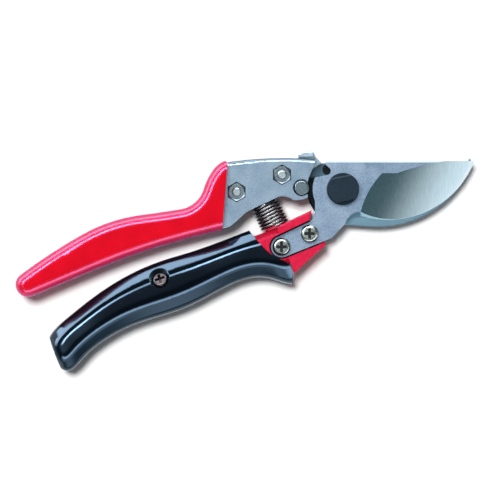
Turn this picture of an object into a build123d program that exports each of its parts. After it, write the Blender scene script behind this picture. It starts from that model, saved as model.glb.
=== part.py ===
"""Bypass pruning shears with a revolving lower grip, closed and lying flat.

Millimetres. The pivot axis is Z, X runs along the spine of the cutting blade towards its tip,
Y points to the upper handle, and Z = 0 is the surface that the shears lie on.
"""
import math
import os

from build123d import *

os.makedirs("parts", exist_ok=True)

# Layers along Z
lower_grip_depth = 20.0
upper_grip_depth = 18.0
frame_thickness = 13.0
counter_thickness = 4.0
cutting_thickness = 3.4
running_gap = 0.05
fit_gap = 0.03
assembly_gap = 0.25

# Pivot
pivot_diameter = 8.0
pivot_head_diameter = 14.1
pivot_head_flats = 11.0
pivot_flange_height = 1.3
pivot_head_height = 2.1
bush_wall = 1.0
pivot_washer_diameter = 15.0
pivot_washer_thickness = 1.2
pivot_nut_flats = 13.0

# Cutting blade
spine_height = 12.3
blade_reach = 57.6
hub_radius = 13.1
tooth_reach = 14.4
edge_heel_x = 8.0
edge_heel_drop = 11.6
edge_belly_x = 38.0
edge_belly_drop = 9.1
edge_land = 0.25
edge_bevel_angle = 45.0
spine_bevel = 1.4
wheel_radius = 160.0
hollow_depth = 2.4

# Counter blade
counter_hub_radius = 15.4
jaw_overlap = 2.6
hook_belly_x = 40.8
hook_belly_drop = 8.5

# Tang of the cutting blade and the two screws that hold it
tang_angle = 25.3
rear_screw_x = -26.7
rear_screw_y = -25.1
screw_spacing = 13.5
tang_width = 9.2
tang_flare = 1.3
flare_reach = 21.4
screw_diameter = 4.0
screw_head_diameter = 7.8
screw_head_height = 2.4
screw_depth = 5.0

# Bolts and nuts of the counter blade
front_bolt_x = -26.5
front_bolt_y = 6.2
bolt_spacing = 21.1
bolt_angle = 20.8
bolt_diameter = 4.0
bolt_head_diameter = 7.2
bolt_head_height = 2.2
nut_flats = 7.0
nut_height = 3.2
nut_pocket_gap = 0.4
nut_wall = 0.9
tang_lobe_radius = 4.3

# Upper handle
frame_top = 13.4
frame_nose_radius = 15.6
frame_rounding = 1.6
edge_break = 0.5
core_thickness = 9.0
grip_end_radius = 5.4
grip_rounding = 4.6
grip_corner_radius = 1.3

# Lower frame
arm_height = 8.8
wing_drop = 12.9
boss_radius = 8.5
boss_length = 11.0
neck_radius = 6.2
neck_length = 18.0
rim_clearance = 1.2
slot_gap = 0.7

# Revolving grip
grip_axis_tilt = 5.0
spindle_radius = 4.0
spindle_start = 6.0
spindle_end = 60.0
spindle_pin_diameter = 2.5
spindle_pin_at = 14.5
grip_bush_wall = 1.5
grip_bush_length = 10.0
front_bush_at = 20.0
rear_bush_at = 38.0
grip_screw_at = 54.4
grip_screw_angle = 55.0
grip_screw_seat = 7.0
grip_screw_recess = 9.0
grip_screw_diameter = 3.0
grip_swivel = 20.0

# Return spring
spring_diameter = 12.7
wire_diameter = 1.0
spring_turns = 7
spring_length = 11.3
spring_along = 1.4
spring_peg_height = 0.8

# Lock
lock_pin_x = -18.0
lock_pin_y = 0.6
lock_pin_diameter = 4.0
lock_head_diameter = 6.6
lock_boss_radius = 3.2
lock_plate_thickness = 2.7
lock_washer_thickness = 0.5
tab_rise = 3.3
tab_rounding = 0.9

# Heights that follow from the layers
middle = lower_grip_depth / 2
frame_back = middle - frame_thickness / 2
frame_front = middle + frame_thickness / 2
counter_back = middle - counter_thickness
cutting_back = middle + running_gap
cutting_front = cutting_back + cutting_thickness
head_back = cutting_front + running_gap
washer_back = counter_back - pivot_washer_thickness
lock_front = cutting_back + lock_plate_thickness
lock_washer_back = lock_front + running_gap
lock_roof = lock_washer_back + lock_washer_thickness + running_gap

# Planes that the tang, the revolving grip and the spring are drawn on
tang_plane = Plane(
    origin=(rear_screw_x, rear_screw_y, 0),
    x_dir=(math.cos(math.radians(tang_angle)), math.sin(math.radians(tang_angle)), 0),
    z_dir=(0, 0, 1),
)
axis_angle = tang_angle - grip_axis_tilt
axis_direction = Vector(-math.cos(math.radians(axis_angle)), -math.sin(math.radians(axis_angle)), 0)
axis_up = Vector(-math.sin(math.radians(axis_angle)), math.cos(math.radians(axis_angle)), 0)
axis_origin = Vector(rear_screw_x, rear_screw_y, middle)
spring_top = arm_height + spring_length


def on_tang(along, across):
    """Point in the XY plane, measured along the tang from its rear screw and across it."""
    return tang_plane.from_local_coords(Vector(along, across, 0))


def polar(radius, angle):
    """Point in the XY plane at a radius and an angle about the pivot."""
    return Vector(radius * math.cos(math.radians(angle)), radius * math.sin(math.radians(angle)), 0)


def grip_plane(distance):
    """Plane square to the grip's axis, that far behind the rear screw, X towards the upper handle."""
    return Plane(origin=axis_origin + axis_direction * distance, x_dir=axis_up, z_dir=axis_direction)


def tangent_chain(heading, *points):
    """Draw arcs through the points, each one tangent to the one before."""
    for start, finish in zip(points, points[1:]):
        bend = TangentArc(start, finish, tangent=heading)
        heading = bend % 1


rear_screw = on_tang(0, 0)
front_screw = on_tang(screw_spacing, 0)
front_bolt = Vector(front_bolt_x, front_bolt_y, 0)
bolt_line = Vector(math.cos(math.radians(bolt_angle)), math.sin(math.radians(bolt_angle)), 0)
bolt_across = Vector(-bolt_line.Y, bolt_line.X, 0)
rear_bolt = front_bolt - bolt_line * bolt_spacing
grip_line_x = rear_bolt.X - nut_flats / 2 - nut_pocket_gap - nut_wall
lock_pin_spot = Vector(lock_pin_x, lock_pin_y, 0)


def cross_recess(width, length, depth):
    """Cut a cross for a driver into the top of the part being built, at the current place."""
    for turn in (0, 90):
        with Locations(Rotation(0, 0, turn)):
            Box(length, width, depth, align=(Align.CENTER, Align.CENTER, Align.MAX), mode=Mode.SUBTRACT)


# Cutting blade: hub with a lock notch, hollow ground blade and tang in one plate
tooth_corner = Vector(-math.sqrt(tooth_reach**2 - spine_height**2), spine_height, 0)
blade_tip = Vector(blade_reach, spine_height, 0)
edge_heel = Vector(edge_heel_x, -edge_heel_drop, 0)
edge_belly = Vector(edge_belly_x, -edge_belly_drop, 0)
tang_half = tang_width / 2
with BuildSketch() as cutting_profile:
    with BuildLine():
        Polyline(blade_tip, tooth_corner, tooth_corner + Vector(0.1, -1.7), tooth_corner + Vector(1.5, -2.9))
        ThreePointArc(
            tooth_corner + Vector(1.5, -2.9),
            tooth_corner + Vector(2.2, -4.8),
            tooth_corner + Vector(0.9, -6.1),
        )
        Line(tooth_corner + Vector(0.9, -6.1), polar(hub_radius, 157))
        ThreePointArc(polar(hub_radius, 157), polar(hub_radius, 180), polar(hub_radius, 203))
        Line(polar(hub_radius, 203), (-12.1, -9.0))
        ThreePointArc((-12.1, -9.0), (-12.7, -11.8), on_tang(15.8, tang_half))
        Line(on_tang(15.8, tang_half), on_tang(0, tang_half))
        ThreePointArc(on_tang(0, tang_half), on_tang(-tang_half, 0), on_tang(0, -tang_half))
        Polyline(on_tang(0, -tang_half), on_tang(flare_reach, -tang_half - tang_flare), (1.0, -15.2))
        ThreePointArc((1.0, -15.2), (3.4, -11.4), (7.5, -9.8))
        Line((7.5, -9.8), edge_heel)
        edge_arc = ThreePointArc(edge_heel, edge_belly, blade_tip)
    make_face()
edge_centre = edge_arc.arc_center
edge_radius = edge_arc.radius

# Concave face that a large wheel grinds, run out in a curve beside the pivot
wheel_turn = 61.5
wheel_lean = 2.9
wheel_low = Vector(40.0, -3.0, cutting_front - hollow_depth)
wheel_axis = Vector(1, 0, 0).rotate(Axis.Y, -wheel_lean).rotate(Axis.Z, wheel_turn)
wheel_out = Vector(0, 0, 1).rotate(Axis.Y, -wheel_lean).rotate(Axis.Z, wheel_turn)
with BuildPart() as hollow_cutter:
    with BuildSketch(Plane.XY.offset(cutting_back)):
        with BuildLine():
            ThreePointArc((edge_heel_x - 0.1, -9.4), (11.9, 0.1), (17.2, 7.0))
            Line((17.2, 7.0), (23.7, 7.0))
            Spline((23.7, 7.0), (32.8, 9.8), (47.0, spine_height + 0.2))
            Polyline(
                (47.0, spine_height + 0.2),
                (blade_reach + 5, spine_height + 0.2),
                (blade_reach + 5, -edge_heel_drop - 5),
                (edge_heel_x - 0.1, -edge_heel_drop - 5),
                (edge_heel_x - 0.1, -9.4),
            )
        make_face()
    extrude(amount=cutting_thickness + 1)
    with BuildSketch(Plane(origin=wheel_low + wheel_out * wheel_radius, z_dir=wheel_axis)):
        Circle(wheel_radius)
    extrude(amount=wheel_radius, both=True, mode=Mode.INTERSECT)

# Cutting bevel: a cone about the centre of the edge's arc
bevel_rise = cutting_thickness
bevel_run = bevel_rise / math.tan(math.radians(edge_bevel_angle))
with BuildPart() as bevel_cutter:
    with BuildSketch(Plane(origin=edge_centre, x_dir=(1, 0, 0), z_dir=(0, -1, 0))):
        with BuildLine():
            Polyline(
                (edge_radius, cutting_back + edge_land),
                (edge_radius - bevel_run, cutting_back + edge_land + bevel_rise),
                (edge_radius + 5, cutting_back + edge_land + bevel_rise),
                (edge_radius + 5, cutting_back + edge_land),
                close=True,
            )
        make_face()
    revolve(axis=Axis(edge_centre, (0, 0, 1)))
    with BuildSketch(Plane.XY.offset(cutting_back)):
        with Locations((edge_heel_x - 0.2, spine_height)):
            Rectangle(blade_reach, 3 * spine_height, align=(Align.MIN, Align.MAX))
    extrude(amount=2 * cutting_thickness, mode=Mode.INTERSECT)

with BuildPart() as cutting_blade:
    with BuildSketch(Plane.XY.offset(cutting_back)):
        add(cutting_profile.sketch)
    extrude(amount=cutting_thickness)
    spine_edge = cutting_blade.edges().group_by(Axis.Z)[-1].sort_by(Axis.Y)[-1]
    chamfer(spine_edge, length=spine_bevel, length2=spine_bevel / 2)
    add(hollow_cutter.part, mode=Mode.SUBTRACT)
    add(bevel_cutter.part, mode=Mode.SUBTRACT)
    with Locations((0, 0, cutting_back)):
        Cylinder(
            pivot_diameter / 2 + bush_wall, 3 * cutting_thickness, mode=Mode.SUBTRACT
        )
    with Locations(rear_screw, front_screw):
        Cylinder(screw_diameter / 2 + assembly_gap, 3 * middle, mode=Mode.SUBTRACT)
cutting_blade.part.label = "cutting_blade"
export_step(cutting_blade.part, "parts/cutting_blade.step")

# Pivot: bush in the blade, bolt with a flat-sided head, washer and nut behind
on_base = (Align.CENTER, Align.CENTER, Align.MIN)
pivot_hole = pivot_diameter / 2 + fit_gap
with BuildPart() as pivot_bush:
    with Locations((0, 0, cutting_back)):
        Cylinder(pivot_diameter / 2 + bush_wall - fit_gap, cutting_thickness, align=on_base)
        Cylinder(pivot_hole, cutting_thickness, align=on_base, mode=Mode.SUBTRACT)
pivot_bush.part.label = "pivot_bush"
export_step(pivot_bush.part, "parts/pivot_bush.step")

with BuildPart() as pivot_bolt:
    Cylinder(pivot_diameter / 2, head_back, align=on_base)
    with Locations((0, 0, head_back)):
        Cylinder(pivot_head_diameter / 2, pivot_flange_height, align=on_base)
    with BuildSketch(Plane.XY.offset(head_back + pivot_flange_height)):
        Circle(pivot_head_diameter / 2)
        Rectangle(pivot_head_diameter, pivot_head_flats, rotation=11.5, mode=Mode.INTERSECT)
    extrude(amount=pivot_head_height)
    chamfer(pivot_bolt.faces().sort_by(Axis.Z)[-1].edges(), length=pivot_head_height / 4)
pivot_bolt.part.label = "pivot_bolt"
export_step(pivot_bolt.part, "parts/pivot_bolt.step")

with BuildPart() as pivot_washer:
    with Locations((0, 0, washer_back)):
        Cylinder(pivot_washer_diameter / 2, pivot_washer_thickness, align=on_base)
        Cylinder(pivot_hole, pivot_washer_thickness, align=on_base, mode=Mode.SUBTRACT)
pivot_washer.part.label = "pivot_washer"
export_step(pivot_washer.part, "parts/pivot_washer.step")

with BuildPart() as pivot_nut:
    with BuildSketch():
        RegularPolygon(pivot_nut_flats / 2, 6, major_radius=False)
    extrude(amount=washer_back)
    with BuildSketch():
        Circle(pivot_hole)
    extrude(amount=washer_back, mode=Mode.SUBTRACT)
pivot_nut.part.label = "pivot_nut"
export_step(pivot_nut.part, "parts/pivot_nut.step")

# Counter blade: hook, hub and a tang that lies in the back of the upper frame
counter_top = spine_height - 0.3
jaw_radius = edge_radius - jaw_overlap
jaw_start = edge_centre + polar(jaw_radius, 262)
jaw_end = edge_centre + polar(jaw_radius, 336)
hook_tip = Vector(blade_reach - 0.5, spine_height - 1.3, 0)
lobe = bolt_across * tang_lobe_radius
with BuildSketch() as counter_profile:
    with BuildLine():
        ThreePointArc(rear_bolt - lobe, rear_bolt - bolt_line * tang_lobe_radius, rear_bolt + lobe)
        Polyline(rear_bolt + lobe, front_bolt + lobe, (2.0, counter_top))
        ThreePointArc((2.0, counter_top), polar(counter_top + 0.4, 30), polar(counter_top + 0.4, 340))
        Line(polar(counter_top + 0.4, 340), jaw_start)
        ThreePointArc(jaw_start, edge_centre + polar(jaw_radius, 300), jaw_end)
        Polyline(jaw_end, hook_tip + Vector(-1.5, 2.5), hook_tip)
        ThreePointArc(hook_tip, (hook_belly_x, -hook_belly_drop), (9.7, -counter_hub_radius - 0.7))
        Line((9.7, -counter_hub_radius - 0.7), polar(counter_hub_radius, 270))
        ThreePointArc(
            polar(counter_hub_radius, 270),
            polar(counter_hub_radius, 230),
            polar(counter_hub_radius, 193),
        )
        Polyline(polar(counter_hub_radius, 193), front_bolt - lobe, rear_bolt - lobe)
    make_face()

with BuildPart() as counter_blade:
    with BuildSketch(Plane.XY.offset(counter_back)):
        add(counter_profile.sketch)
        Circle(pivot_hole, mode=Mode.SUBTRACT)
        with Locations(rear_bolt, front_bolt):
            Circle(bolt_diameter / 2 + fit_gap, mode=Mode.SUBTRACT)
        with Locations(lock_pin_spot):
            Circle(lock_pin_diameter / 2 + fit_gap, mode=Mode.SUBTRACT)
    extrude(amount=counter_thickness)
    front_edges = counter_blade.edges().group_by(Axis.Z)[-1]
    chamfer(front_edges.sort_by_distance((hook_belly_x, -hook_belly_drop, middle))[0], length=edge_break)
counter_blade.part.label = "counter_blade"
export_step(counter_blade.part, "parts/counter_blade.step")

# Upper frame: forged handle head, hollowed behind for the counter blade and for the lock
seat_left = on_tang(spring_along - spring_diameter / 2 - assembly_gap, spring_top)
seat_right = on_tang(spring_along + spring_diameter / 2 + assembly_gap, spring_top)
grip_line_top = Vector(grip_line_x + 0.9, frame_top - 1.7, 0)
grip_line_bottom = Vector(grip_line_x - 1.35, -17.2, 0)
frame_corner = Vector(-11.6, frame_top - 0.5, 0)
peg_radius = spring_diameter / 2 - wire_diameter - 2 * assembly_gap
tang_up = Vector(tang_plane.y_dir)
with BuildSketch() as core_profile:
    with BuildLine():
        Polyline(
            (grip_line_x + 2, 7.0),
            (grip_line_x - 4.8, 4.0),
            (grip_line_x - 8.3, -6.5),
            (grip_line_x - 17, -12.2),
            (-88.0, -15.2),
            (-108.0, -21.8),
            (-126.0, -32.5),
            (-130.0, -39.5),
            (-108.0, -30.5),
            (-88.0, -23.0),
            (grip_line_x - 17, -17.5),
            (grip_line_x + 2, -12.5),
            close=True,
        )
    make_face()


def below_lock(edge):
    """Whether an edge of the frame's front face lies on its lower outline, clear of the grip line."""
    return edge.center().Y < lock_pin_y - lock_boss_radius and edge.center().X > grip_line_x + nut_wall


with BuildPart() as upper_frame:
    with BuildSketch(Plane.XY.offset(frame_back)):
        with BuildLine():
            ThreePointArc(frame_corner, (-30.8, frame_top), grip_line_top)
            Line(grip_line_top, grip_line_bottom)
            Spline(grip_line_bottom, (-48.0, -15.6), (-44.6, -12.5), seat_left)
            Line(seat_left, seat_right)
            ThreePointArc(seat_right, (-24.6, -3.4), (-22.0, -4.7))
            ThreePointArc((-22.0, -4.7), (-18.6, -4.8), polar(frame_nose_radius, 193.5))
            ThreePointArc(
                polar(frame_nose_radius, 193.5),
                polar(frame_nose_radius, 178),
                polar(frame_nose_radius, 161.5),
            )
            Line(polar(frame_nose_radius, 161.5), frame_corner)
        make_face()
    extrude(amount=frame_thickness)
    top_edges = upper_frame.edges().filter_by(GeomType.CIRCLE).sort_by(Axis.Y)[-2:]
    fillet(top_edges, radius=frame_rounding)
    fillet(upper_frame.edges().group_by(Axis.Z)[-1].filter_by(below_lock), radius=edge_break)
    with BuildSketch(Plane.XY.offset(middle - core_thickness / 2)):
        add(core_profile.sketch)
    extrude(amount=core_thickness)
    with BuildSketch(Plane(origin=on_tang(spring_along, spring_top) + Vector(0, 0, middle), z_dir=-tang_up)):
        Circle(peg_radius)
    extrude(amount=spring_peg_height)
    with BuildSketch(Plane.XY.offset(frame_back)):
        add(counter_profile.sketch)
        offset(amount=assembly_gap)
    extrude(amount=middle - frame_back, mode=Mode.SUBTRACT)
    with BuildSketch(Plane.XY.offset(middle)):
        with BuildLine():
            Polyline(
                lock_pin_spot + Vector(-lock_boss_radius - 1.0, 0),
                lock_pin_spot + Vector(-lock_boss_radius - 1.0, frame_top + 2),
                lock_pin_spot + Vector(10, frame_top + 2),
                lock_pin_spot + Vector(10, -1.0),
                lock_pin_spot,
                close=True,
            )
        make_face()
        with Locations(lock_pin_spot):
            Circle(lock_boss_radius + 0.4)
    extrude(amount=lock_roof - middle, mode=Mode.SUBTRACT)
    with BuildSketch(Plane.XY.offset(middle)):
        with Locations(lock_pin_spot):
            Circle(lock_head_diameter / 2 + 0.4)
    extrude(amount=frame_thickness, mode=Mode.SUBTRACT)
    with BuildSketch(Plane.XY.offset(frame_front - nut_height)):
        with Locations(rear_bolt, front_bolt):
            RegularPolygon(nut_flats / 2 + nut_pocket_gap, 6, major_radius=False, rotation=30)
    extrude(amount=nut_height, mode=Mode.SUBTRACT)
    with Locations(rear_bolt, front_bolt):
        Cylinder(bolt_diameter / 2 + fit_gap, 4 * middle, mode=Mode.SUBTRACT)
upper_frame.part.label = "upper_frame"
export_step(upper_frame.part, "parts/upper_frame.step")

# Upper grip: soft cover moulded over the frame's core
grip_end = Vector(-137.0, -41.6, 0)
grip_line = (grip_line_top - grip_line_bottom).normalized()
cover_top = grip_line_top + grip_line * 1.2
cover_bottom = grip_line_bottom - grip_line * 0.6
end_top = grip_end + polar(grip_end_radius, 127)
end_bottom = grip_end + polar(grip_end_radius, 293)
with BuildSketch() as cover_profile:
    with BuildLine():
        tangent_chain(
            polar(1, 37),
            end_top,
            (-113.1, -19.6),
            (-87.5, -11.2),
            (grip_line_x - 19.5, -8.7),
            (grip_line_x - 9.6, 0.0),
            (grip_line_x - 5.4, 8.4),
            cover_top,
        )
        ThreePointArc(end_top, grip_end + polar(grip_end_radius, 210), end_bottom)
        tangent_chain(polar(1, 23), end_bottom, (-106.7, -34.7), (-76.0, -23.9), cover_bottom)
        Line(cover_bottom, cover_top)
    make_face()

with BuildPart() as upper_grip:
    with BuildSketch(Plane.XY.offset(middle - upper_grip_depth / 2)):
        add(cover_profile.sketch)
    extrude(amount=upper_grip_depth)
    fillet(upper_grip.edges().filter_by(GeomType.CIRCLE), radius=grip_rounding)
    with BuildSketch(Plane.XY.offset(middle - upper_grip_depth / 2)) as rounded_cover:
        add(cover_profile.sketch)
        fillet(rounded_cover.vertices().sort_by_distance(cover_top)[0], radius=grip_corner_radius)
    extrude(amount=upper_grip_depth, mode=Mode.INTERSECT)
    with BuildSketch(Plane.XY.offset(middle - core_thickness / 2)):
        add(core_profile.sketch)
    extrude(amount=core_thickness, mode=Mode.SUBTRACT)
upper_grip.part.label = "upper_grip"
export_step(upper_grip.part, "parts/upper_grip.step")

# Bolts and nuts that hold the counter blade in the upper frame
with BuildPart() as counter_blade_bolts:
    with BuildSketch(Plane.XY.offset(counter_back - bolt_head_height)):
        with Locations(rear_bolt, front_bolt):
            Circle(bolt_head_diameter / 2)
    extrude(amount=bolt_head_height)
    with BuildSketch(Plane.XY.offset(counter_back)):
        with Locations(rear_bolt, front_bolt):
            Circle(bolt_diameter / 2)
    extrude(amount=frame_front - counter_back + 0.3)
    chamfer(counter_blade_bolts.edges().group_by(Axis.Z)[-1], length=0.5)
    with BuildSketch(Plane.XY.offset(counter_back - bolt_head_height)):
        with Locations(rear_bolt, front_bolt):
            RegularPolygon(bolt_diameter / 3, 6, major_radius=False)
    extrude(amount=bolt_head_height / 2, mode=Mode.SUBTRACT)
counter_blade_bolts.part.label = "counter_blade_bolts"
export_step(counter_blade_bolts.part, "parts/counter_blade_bolts.step")

nut_face_radius = 0.94 * nut_flats / 2
nut_cone_radius = nut_face_radius + nut_height / math.tan(math.radians(30))
with BuildPart() as turned_nut:
    with BuildSketch():
        RegularPolygon(nut_flats / 2, 6, major_radius=False, rotation=30)
    extrude(amount=nut_height)
    Cone(nut_cone_radius, nut_face_radius, nut_height, align=on_base, mode=Mode.INTERSECT)
    Cylinder(bolt_diameter / 2 + fit_gap, 3 * nut_height, mode=Mode.SUBTRACT)

nut_seat = Vector(0, 0, frame_front - nut_height)
with BuildPart() as counter_blade_nuts:
    with Locations(rear_bolt + nut_seat, front_bolt + nut_seat):
        add(turned_nut.part)
counter_blade_nuts.part.label = "counter_blade_nuts"
export_step(counter_blade_nuts.part, "parts/counter_blade_nuts.step")

# Lower frame: fork that takes the blade's tang in front and a round boss that the grip turns on
slot_half = tang_half + slot_gap
spring_seat = on_tang(spring_along, arm_height) + Vector(0, 0, middle)


def behind_wing(across):
    """Point on the fork's rear face, which stands square to the grip's axis."""
    tilt = math.radians(grip_axis_tilt)
    return on_tang((across * math.sin(tilt) + rim_clearance) / math.cos(tilt), across)


def ahead_of_boss(edge):
    """Whether an edge of the fork lies in front of its rear face."""
    return (edge.center() - axis_origin).dot(axis_direction) < -rim_clearance - fit_gap


with BuildPart() as grip_boss:
    with BuildSketch(grip_plane(-rim_clearance)):
        Circle(boss_radius)
    extrude(amount=boss_length + rim_clearance)
    with BuildSketch(grip_plane(boss_length)):
        Circle(neck_radius)
    extrude(amount=neck_length - boss_length)
    with BuildSketch(Plane.XY.offset(frame_back)):
        with Locations(rear_screw):
            Rectangle(4 * neck_length, 4 * neck_length)
    extrude(amount=frame_thickness, mode=Mode.INTERSECT)

with BuildPart() as lower_frame:
    with BuildSketch(Plane.XY.offset(frame_back)):
        with BuildLine():
            Polyline(
                behind_wing(arm_height),
                on_tang(18.7, arm_height),
                on_tang(16.2, slot_half),
                on_tang(17.8, -slot_half - tang_flare),
                on_tang(17.8, -slot_half - tang_flare - 1.0),
                on_tang(9.0, -10.1),
                behind_wing(-wing_drop),
                close=True,
            )
        make_face()
    extrude(amount=frame_thickness)
    fillet(lower_frame.edges().group_by(Axis.Z)[-1].filter_by(ahead_of_boss), radius=frame_rounding / 2)
    fillet(lower_frame.edges().group_by(Axis.Z)[0].filter_by(ahead_of_boss), radius=frame_rounding / 2)
    add(grip_boss.part)
    with BuildSketch(Plane(origin=spring_seat, z_dir=tang_up)):
        Circle(peg_radius)
    extrude(amount=spring_peg_height)
    with BuildSketch(Plane.XY.offset(middle)):
        with BuildLine():
            Polyline(
                on_tang(0, slot_half),
                on_tang(flare_reach, slot_half),
                on_tang(flare_reach, -slot_half - tang_flare),
                on_tang(0, -slot_half),
            )
            ThreePointArc(on_tang(0, -slot_half), on_tang(-slot_half, 0), on_tang(0, slot_half))
        make_face()
    extrude(amount=frame_thickness, mode=Mode.SUBTRACT)
    with BuildSketch(Plane.XY.offset(middle - screw_depth - 0.3)):
        with Locations(rear_screw, front_screw):
            Circle(screw_diameter / 2 + fit_gap)
    extrude(amount=screw_depth + 0.3, mode=Mode.SUBTRACT)
    with BuildSketch(grip_plane(spindle_start)):
        Circle(spindle_radius + fit_gap)
    extrude(amount=neck_length, mode=Mode.SUBTRACT)
    with Locations(grip_plane(spindle_pin_at).origin):
        Cylinder(spindle_pin_diameter / 2 + fit_gap, 2 * middle, mode=Mode.SUBTRACT)
lower_frame.part.label = "lower_frame"
export_step(lower_frame.part, "parts/lower_frame.step")

# Two screws that hold the tang in the fork
with BuildPart() as blade_screws:
    with BuildSketch(Plane.XY.offset(cutting_front)):
        with Locations(rear_screw, front_screw):
            Circle(screw_head_diameter / 2)
    extrude(amount=screw_head_height)
    fillet(blade_screws.edges().group_by(Axis.Z)[-1], radius=0.6 * screw_head_height)
    with BuildSketch(Plane.XY.offset(middle - screw_depth)):
        with Locations(rear_screw, front_screw):
            Circle(screw_diameter / 2)
    extrude(amount=cutting_front - middle + screw_depth)
    screw_top = Vector(0, 0, cutting_front + screw_head_height)
    with Locations(rear_screw + screw_top, front_screw + screw_top):
        cross_recess(screw_head_diameter / 6, 0.58 * screw_head_diameter, 0.8 * screw_head_height)
blade_screws.part.label = "blade_screws"
export_step(blade_screws.part, "parts/blade_screws.step")

# Revolving grip: flat on its faces and well rounded over its back and belly, with an oblique front rim
# and a hooked rear end
grip_bore = spindle_radius + grip_bush_wall
screw_out = axis_up * math.cos(math.radians(grip_screw_angle))
screw_out = screw_out + Vector(0, 0, math.sin(math.radians(grip_screw_angle)))
screw_centre = grip_plane(grip_screw_at).origin
screw_plane = Plane(origin=screw_centre + screw_out * grip_screw_seat, x_dir=axis_direction, z_dir=screw_out)


def grip_section(distance, rise, drop, depth):
    """Rounded octagon across the grip: rise and drop from the axis, and half its depth."""
    girth = rise + drop
    with BuildSketch(grip_plane(distance)) as section:
        with BuildLine():
            Polyline(
                (rise, 0.45 * depth),
                (rise - 0.31 * girth, depth),
                (rise - 0.66 * girth, depth),
                (-drop, 0.45 * depth),
                (-drop, -0.45 * depth),
                (rise - 0.66 * girth, -depth),
                (rise - 0.31 * girth, -depth),
                (rise, -0.45 * depth),
                close=True,
            )
        make_face()
        faces_of_grip = section.vertices().group_by(Axis.Y)
        fillet(faces_of_grip[0] + faces_of_grip[-1], radius=0.4 * girth)
        back_and_belly = section.vertices().group_by(Axis.X)
        fillet(back_and_belly[0] + back_and_belly[-1], radius=0.2 * girth)
    return section.sketch


grip_half = lower_grip_depth / 2
with BuildPart() as revolving_grip:
    loft(
        [
            grip_section(-2.0, 11.8, 17.0, 0.97 * grip_half),
            grip_section(9.0, 11.7, 11.6, 0.97 * grip_half),
            grip_section(18.0, 11.5, 8.0, 0.94 * grip_half),
            grip_section(27.0, 11.4, 7.9, 0.93 * grip_half),
            grip_section(39.0, 11.7, 9.5, 0.95 * grip_half),
            grip_section(51.0, 12.4, 10.5, 0.98 * grip_half),
            grip_section(62.0, 12.1, 10.0, 0.98 * grip_half),
            grip_section(74.0, 10.4, 9.7, 0.96 * grip_half),
            grip_section(86.0, 7.4, 11.4, 0.93 * grip_half),
            grip_section(97.0, 3.8, 15.2, 0.9 * grip_half),
            grip_section(105.0, 0.6, 18.6, 0.86 * grip_half),
            grip_section(108.5, -1.8, 16.6, 0.62 * grip_half),
        ]
    )
    with BuildSketch():
        with BuildLine():
            Spline(
                on_tang(-9.8, 13.2),
                on_tang(-7.5, 4.0),
                on_tang(-4.3, -2.8),
                on_tang(-1.3, -6.6),
                on_tang(-0.2, -11.8),
            )
            Polyline(
                on_tang(-0.2, -11.8),
                on_tang(-3.4, -18.0),
                on_tang(30.0, -22.0),
                on_tang(30.0, 22.0),
                on_tang(-9.8, 22.0),
                on_tang(-9.8, 13.2),
            )
        make_face()
    extrude(amount=2 * lower_grip_depth, both=True, mode=Mode.SUBTRACT)
    with BuildSketch(grip_plane(-boss_length)):
        Circle(boss_radius + 0.3)
    extrude(amount=2 * boss_length + 0.3, mode=Mode.SUBTRACT)
    with BuildSketch(grip_plane(boss_length)):
        Circle(neck_radius + 0.3)
    extrude(amount=neck_length - boss_length + 0.3, mode=Mode.SUBTRACT)
    with BuildSketch(grip_plane(neck_length)):
        Circle(grip_bore)
    extrude(amount=spindle_end + 1 - neck_length, mode=Mode.SUBTRACT)
    with BuildSketch(screw_plane):
        Circle(grip_screw_recess / 2)
    extrude(amount=grip_half, mode=Mode.SUBTRACT)
    with BuildSketch(screw_plane):
        Circle(grip_screw_diameter / 2 + fit_gap)
    extrude(amount=-grip_screw_seat, mode=Mode.SUBTRACT)
revolving_grip.part.label = "revolving_grip"
export_step(revolving_grip.part, "parts/revolving_grip.step")

# Spindle of the grip, the pin that fixes it, its two bushes and the screw that keeps the grip on
groove_half = grip_swivel + 35
groove_start = math.radians(-grip_screw_angle - groove_half)
groove_side = axis_up * math.cos(groove_start) - Vector(0, 0, math.sin(groove_start))
screw_point = 0.8 * spindle_radius
with BuildPart() as grip_spindle:
    with BuildSketch(grip_plane(spindle_start)):
        Circle(spindle_radius)
    extrude(amount=spindle_end - spindle_start)
    with BuildSketch(Plane(origin=screw_centre, x_dir=groove_side, z_dir=groove_side.cross(axis_direction))):
        with Locations((screw_point - 0.3, 0)):
            Rectangle(spindle_radius, grip_screw_diameter + 0.4, align=(Align.MIN, Align.CENTER))
    revolve(axis=Axis(screw_centre, axis_direction), revolution_arc=2 * groove_half, mode=Mode.SUBTRACT)
    with Locations(grip_plane(spindle_pin_at).origin):
        Cylinder(spindle_pin_diameter / 2 + fit_gap, 2 * middle, mode=Mode.SUBTRACT)
grip_spindle.part.label = "grip_spindle"
export_step(grip_spindle.part, "parts/grip_spindle.step")

with BuildPart() as spindle_pin:
    with Locations(grip_plane(spindle_pin_at).origin):
        Cylinder(spindle_pin_diameter / 2, 2 * neck_radius - 0.8)
spindle_pin.part.label = "spindle_pin"
export_step(spindle_pin.part, "parts/spindle_pin.step")

with BuildPart() as front_bush:
    with BuildSketch(grip_plane(front_bush_at)):
        Circle(grip_bore - fit_gap)
        Circle(spindle_radius + fit_gap, mode=Mode.SUBTRACT)
    extrude(amount=grip_bush_length)
front_bush.part.label = "front_bush"
export_step(front_bush.part, "parts/front_bush.step")

with BuildPart() as rear_bush:
    with BuildSketch(grip_plane(rear_bush_at)):
        Circle(grip_bore - fit_gap)
        Circle(spindle_radius + fit_gap, mode=Mode.SUBTRACT)
    extrude(amount=grip_bush_length)
rear_bush.part.label = "rear_bush"
export_step(rear_bush.part, "parts/rear_bush.step")

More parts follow.
